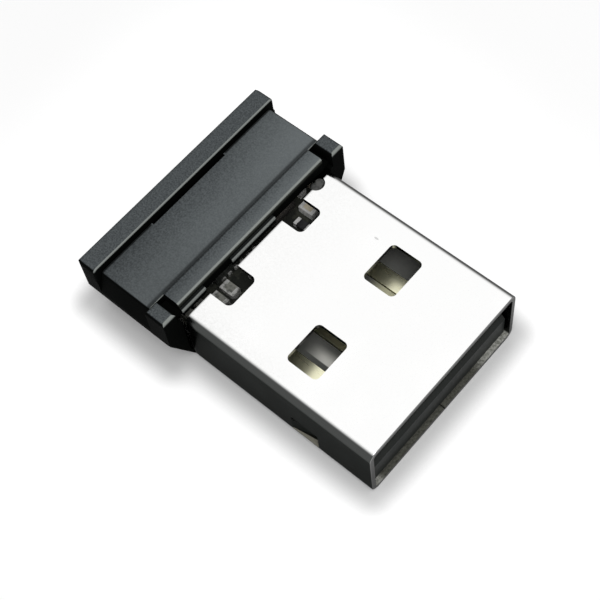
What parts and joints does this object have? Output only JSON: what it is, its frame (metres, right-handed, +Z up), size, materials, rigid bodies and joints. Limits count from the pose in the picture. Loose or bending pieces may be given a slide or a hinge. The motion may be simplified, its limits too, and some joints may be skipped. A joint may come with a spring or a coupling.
{
  "type": "usb wireless receiver",
  "caption": "Nano USB wireless receiver: a folded steel plug shell with windows, a black contact tongue and a short moulded tail that holds a small radio board.",
  "frame": {"origin": "centre of the footprint, on the flat underside shared by the plug shell and the tail", "axes": "+X out of the plug's mouth, the way it goes into a port; +Y across the plug; +Z up, the side with the notches and the cover"},
  "size_m": [0.0198, 0.0146, 0.0054],
  "materials": {
    "nickel_shell": "bright nickel plate",
    "housing_plastic": "fine texture",
    "cover_plastic": "fine texture",
    "carrier_plastic": "gloss",
    "gold_plate": "gold plate",
    "solder": "satin tin",
    "board_laminate": "dark green solder mask",
    "chip_black": "moulded epoxy",
    "tin_lead": "tin plate",
    "crystal_ceramic": "matt",
    "crystal_can": "satin",
    "capacitor_body": "matt beige",
    "resistor_body": "black",
    "inductor_body": "dark blue grey",
    "trace_copper": "copper under solder mask"
  },
  "bodies": {
    "root": {"usb_shell": "nickel_shell", "housing_body": "housing_plastic", "top_cover": "cover_plastic", "contact_carrier": "carrier_plastic", "contact_vbus": "gold_plate", "contact_data_minus": "gold_plate", "contact_data_plus": "gold_plate", "contact_ground": "gold_plate", "contact_solder": "solder", "leg_solder": "solder", "solder_tack": "solder", "circuit_board": "board_laminate", "radio_chip": "chip_black", "radio_chip_pads": "tin_lead", "memory_chip": "chip_black", "memory_chip_leads": "tin_lead", "voltage_regulator": "chip_black", "regulator_leads": "tin_lead", "crystal_base": "crystal_ceramic", "crystal_lid": "crystal_can", "capacitors": "capacitor_body", "resistors": "resistor_body", "inductors": "inductor_body", "chip_end_caps": "tin_lead", "antenna_trace": "trace_copper"}
  },
  "joints": []
}
